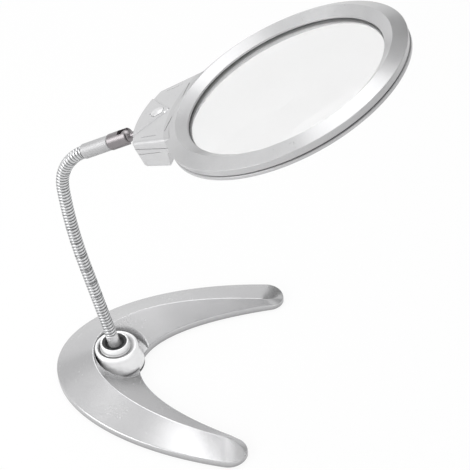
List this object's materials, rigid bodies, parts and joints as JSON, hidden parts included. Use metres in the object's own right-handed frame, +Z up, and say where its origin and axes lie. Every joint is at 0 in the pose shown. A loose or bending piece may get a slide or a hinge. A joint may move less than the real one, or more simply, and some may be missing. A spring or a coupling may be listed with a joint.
{
  "type": "stand magnifier",
  "caption": "Table magnifier: large round lens in a ring with a lighted battery handle, on a ball joint and a flexible spiral neck that stands in a crescent base.",
  "frame": {"origin": "on the table, on the axis of the bell-shaped boss that carries the neck", "axes": "+X towards the open side of the crescent base, between its legs; +Z up"},
  "size_m": [0.2521, 0.1837, 0.2909],
  "materials": {
    "silver": "satin silver lacquer",
    "white": "polished",
    "black": "matt",
    "dark_cover": "fine grain",
    "iron": "as cast",
    "pad": "matt",
    "screw": "zinc plated",
    "spring": "bright",
    "hose": "bright",
    "ferrule": "satin",
    "chrome": "polished",
    "lens": "clear",
    "door_grey": "satin",
    "cell": "wrapped",
    "board": "solder masked",
    "lamp": "clear",
    "wire": "insulated"
  },
  "bodies": {
    "base": {"base_shell": "silver", "base_cover": "dark_cover", "base_weight": "iron", "base_feet": "pad", "base_screws": "screw", "neck_boss": "white", "boss_screws": "screw"},
    "swivel": {"bush": "black", "bush_clip": "spring", "neck_plug": "ferrule"},
    "neck_segment_01": {"neck_segment_01": "hose"},
    "neck_segment_02": {"neck_segment_02": "hose"},
    "neck_segment_03": {"neck_segment_03": "hose"},
    "neck_segment_04": {"neck_segment_04": "hose"},
    "neck_segment_05": {"neck_segment_05": "hose"},
    "neck_segment_06": {"neck_segment_06": "hose"},
    "neck_segment_07": {"neck_segment_07": "hose"},
    "neck_segment_08": {"neck_segment_08": "hose"},
    "neck_segment_09": {"neck_segment_09": "hose"},
    "neck_segment_10": {"neck_segment_10": "hose"},
    "neck_segment_11": {"neck_segment_11": "hose"},
    "neck_segment_12": {"neck_segment_12": "hose"},
    "neck_segment_13": {"neck_segment_13": "hose"},
    "neck_segment_14": {"neck_segment_14": "hose"},
    "ferrule": {"upper_ferrule": "ferrule", "snap_ring": "spring"},
    "socket": {"ball_socket": "chrome"},
    "stud": {"ball_stud": "chrome", "stud_nut": "screw"},
    "head": {"front_frame": "silver", "rear_frame": "silver", "lens": "lens", "battery_cells": "cell", "contact_plates": "spring", "contact_springs": "spring", "circuit_board": "board", "switch_body": "black", "leds": "lamp", "lamp_wires": "wire", "frame_screws": "screw"},
    "button": {"switch_button": "white"},
    "door": {"battery_door": "door_grey"}
  },
  "joints": [
    {"name": "neck_swivel", "type": "hinge", "parent": "base", "child": "swivel", "pos_m": [0, 0, 0.02], "axis": [0, 0, 1], "range_deg": [-175, 175]},
    {"name": "neck_fore_low", "type": "hinge", "parent": "swivel", "child": "neck_segment_01", "pos_m": [-0.00164, 0.00023, 0.02956], "axis": [0.1368, 0.9906, 0], "range_deg": [-7, 7]},
    {"name": "neck_side_low", "type": "hinge", "parent": "neck_segment_01", "child": "neck_segment_02", "pos_m": [-0.00365, 0.0005, 0.04133], "axis": [0.9762, -0.1348, 0.1702], "range_deg": [-7, 7]},
    {"name": "neck_fore_low_2", "type": "hinge", "parent": "neck_segment_02", "child": "neck_segment_03", "pos_m": [-0.00566, 0.00078, 0.05311], "axis": [0.1368, 0.9906, 0], "range_deg": [-7, 7]},
    {"name": "neck_side_low_2", "type": "hinge", "parent": "neck_segment_03", "child": "neck_segment_04", "pos_m": [-0.00768, 0.00106, 0.06488], "axis": [0.9762, -0.1348, 0.1702], "range_deg": [-7, 7]},
    {"name": "neck_fore_low_3", "type": "hinge", "parent": "neck_segment_04", "child": "neck_segment_05", "pos_m": [-0.00969, 0.00134, 0.07666], "axis": [0.1368, 0.9906, 0], "range_deg": [-7, 7]},
    {"name": "neck_side_low_3", "type": "hinge", "parent": "neck_segment_05", "child": "neck_segment_06", "pos_m": [-0.01171, 0.00162, 0.08843], "axis": [0.9762, -0.1348, 0.1702], "range_deg": [-7, 7]},
    {"name": "neck_fore_low_4", "type": "hinge", "parent": "neck_segment_06", "child": "neck_segment_07", "pos_m": [-0.01363, 0.00188, 0.10022], "axis": [0.1368, 0.9906, 0], "range_deg": [-7, 7]},
    {"name": "neck_side_low_4", "type": "hinge", "parent": "neck_segment_07", "child": "neck_segment_08", "pos_m": [-0.0152, 0.0021, 0.11206], "axis": [0.9839, -0.1358, 0.1161], "range_deg": [-7, 7]},
    {"name": "neck_fore_high", "type": "hinge", "parent": "neck_segment_08", "child": "neck_segment_09", "pos_m": [-0.01638, 0.00226, 0.12395], "axis": [0.1368, 0.9906, 0], "range_deg": [-7, 7]},
    {"name": "neck_side_high", "type": "hinge", "parent": "neck_segment_09", "child": "neck_segment_10", "pos_m": [-0.01718, 0.00237, 0.13587], "axis": [0.9893, -0.1366, 0.0517], "range_deg": [-7, 7]},
    {"name": "neck_fore_high_2", "type": "hinge", "parent": "neck_segment_10", "child": "neck_segment_11", "pos_m": [-0.0176, 0.00243, 0.14781], "axis": [0.1368, 0.9906, 0], "range_deg": [-7, 7]},
    {"name": "neck_side_high_2", "type": "hinge", "parent": "neck_segment_11", "child": "neck_segment_12", "pos_m": [-0.01738, 0.0024, 0.15975], "axis": [0.9827, -0.1357, -0.1257], "range_deg": [-7, 7]},
    {"name": "neck_fore_high_3", "type": "hinge", "parent": "neck_segment_12", "child": "neck_segment_13", "pos_m": [-0.01407, 0.00194, 0.17117], "axis": [0.1368, 0.9906, 0], "range_deg": [-7, 7]},
    {"name": "neck_side_high_3", "type": "hinge", "parent": "neck_segment_13", "child": "neck_segment_14", "pos_m": [-0.0074, 0.00102, 0.18098], "axis": [0.7181, -0.0991, -0.6889], "range_deg": [-7, 7]},
    {"name": "neck_fore_high_4", "type": "hinge", "parent": "neck_segment_14", "child": "ferrule", "pos_m": [0.00197, -0.00027, 0.18821], "axis": [0.1368, 0.9906, 0], "range_deg": [-7, 7]},
    {"name": "socket_turn", "type": "hinge", "parent": "ferrule", "child": "socket", "pos_m": [0.03267, -0.00451, 0.20489], "axis": [0.8722, -0.1204, 0.4741], "range_deg": [-175, 175]},
    {"name": "ball_tilt", "type": "hinge", "parent": "socket", "child": "stud", "pos_m": [0.03267, -0.00451, 0.20489], "axis": [0.1368, 0.9906, 0], "range_deg": [-60, 75]},
    {"name": "head_spin", "type": "hinge", "parent": "stud", "child": "head", "pos_m": [0.03267, -0.00451, 0.20489], "axis": [0.9136, -0.1261, 0.3865], "range_deg": [-90, 90]},
    {"name": "button_press", "type": "slide", "parent": "head", "child": "button", "axis": [0.389, -0.006, -0.9212], "range_m": [0, 0.0007], "stiffness_N_per_m": 500, "springref_m": -0.0006},
    {"name": "door_slide", "type": "slide", "parent": "head", "child": "door", "axis": [0.9136, -0.1261, 0.3865], "range_m": [0, 0.021]}
  ],
  "couplings": [
    {"joint": "neck_fore_low_2", "follows": "neck_fore_low", "ratio": 1},
    {"joint": "neck_side_low_2", "follows": "neck_side_low", "ratio": 1},
    {"joint": "neck_fore_low_3", "follows": "neck_fore_low", "ratio": 1},
    {"joint": "neck_side_low_3", "follows": "neck_side_low", "ratio": 1},
    {"joint": "neck_fore_low_4", "follows": "neck_fore_low", "ratio": 1},
    {"joint": "neck_side_low_4", "follows": "neck_side_low", "ratio": 1},
    {"joint": "neck_fore_high_2", "follows": "neck_fore_high", "ratio": 1},
    {"joint": "neck_side_high_2", "follows": "neck_side_high", "ratio": 1},
    {"joint": "neck_fore_high_3", "follows": "neck_fore_high", "ratio": 1},
    {"joint": "neck_side_high_3", "follows": "neck_side_high", "ratio": 1},
    {"joint": "neck_fore_high_4", "follows": "neck_fore_high", "ratio": 1}
  ]
}
